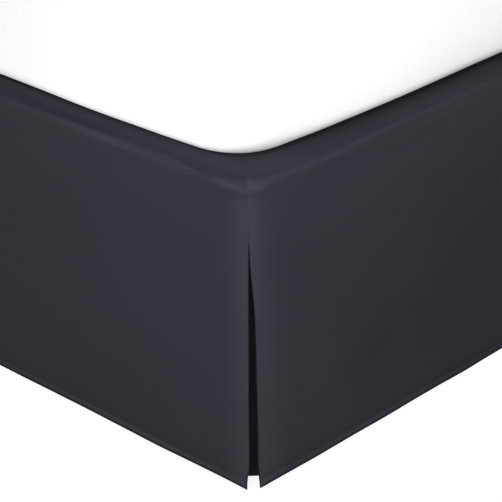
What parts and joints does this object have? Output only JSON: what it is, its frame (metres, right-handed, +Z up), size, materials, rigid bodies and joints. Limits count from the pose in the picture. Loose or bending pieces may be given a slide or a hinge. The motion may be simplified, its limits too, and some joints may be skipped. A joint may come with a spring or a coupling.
{
  "type": "bed skirt on a box spring bed with mattress",
  "caption": "Tailored drop cloth with split corners and loose inserts, hanging from between the mattress and box spring of a bed on a steel frame.",
  "frame": {"origin": "on the floor under the middle of the bed, at the centre of the box round the whole part", "axes": "+Z up, X across the bed, +Y towards its head, so the foot drop faces -Y"},
  "size_m": [1.5524, 2.0464, 0.6376],
  "materials": {
    "skirt_cloth": "matt charcoal woven cloth",
    "deck_cloth": "plain off-white deck cloth",
    "ticking": "plain woven ticking",
    "mattress_cover": "smooth white cotton",
    "frame_paint": "satin black",
    "glide": "matt"
  },
  "bodies": {
    "root": {"drop_left": "skirt_cloth", "drop_right": "skirt_cloth", "drop_foot": "skirt_cloth", "insert_left": "skirt_cloth", "insert_right": "skirt_cloth", "deck": "deck_cloth", "box_spring": "ticking", "mattress": "mattress_cover", "side_rail_left": "frame_paint", "side_rail_right": "frame_paint", "end_rail_foot": "frame_paint", "end_rail_head": "frame_paint", "centre_rail": "frame_paint", "leg_left_foot": "frame_paint", "leg_left_middle": "frame_paint", "leg_left_head": "frame_paint", "leg_right_foot": "frame_paint", "leg_right_middle": "frame_paint", "leg_right_head": "frame_paint", "leg_centre": "frame_paint", "glide_left_foot": "glide", "glide_left_middle": "glide", "glide_left_head": "glide", "glide_right_foot": "glide", "glide_right_middle": "glide", "glide_right_head": "glide", "glide_centre": "glide"}
  },
  "joints": []
}
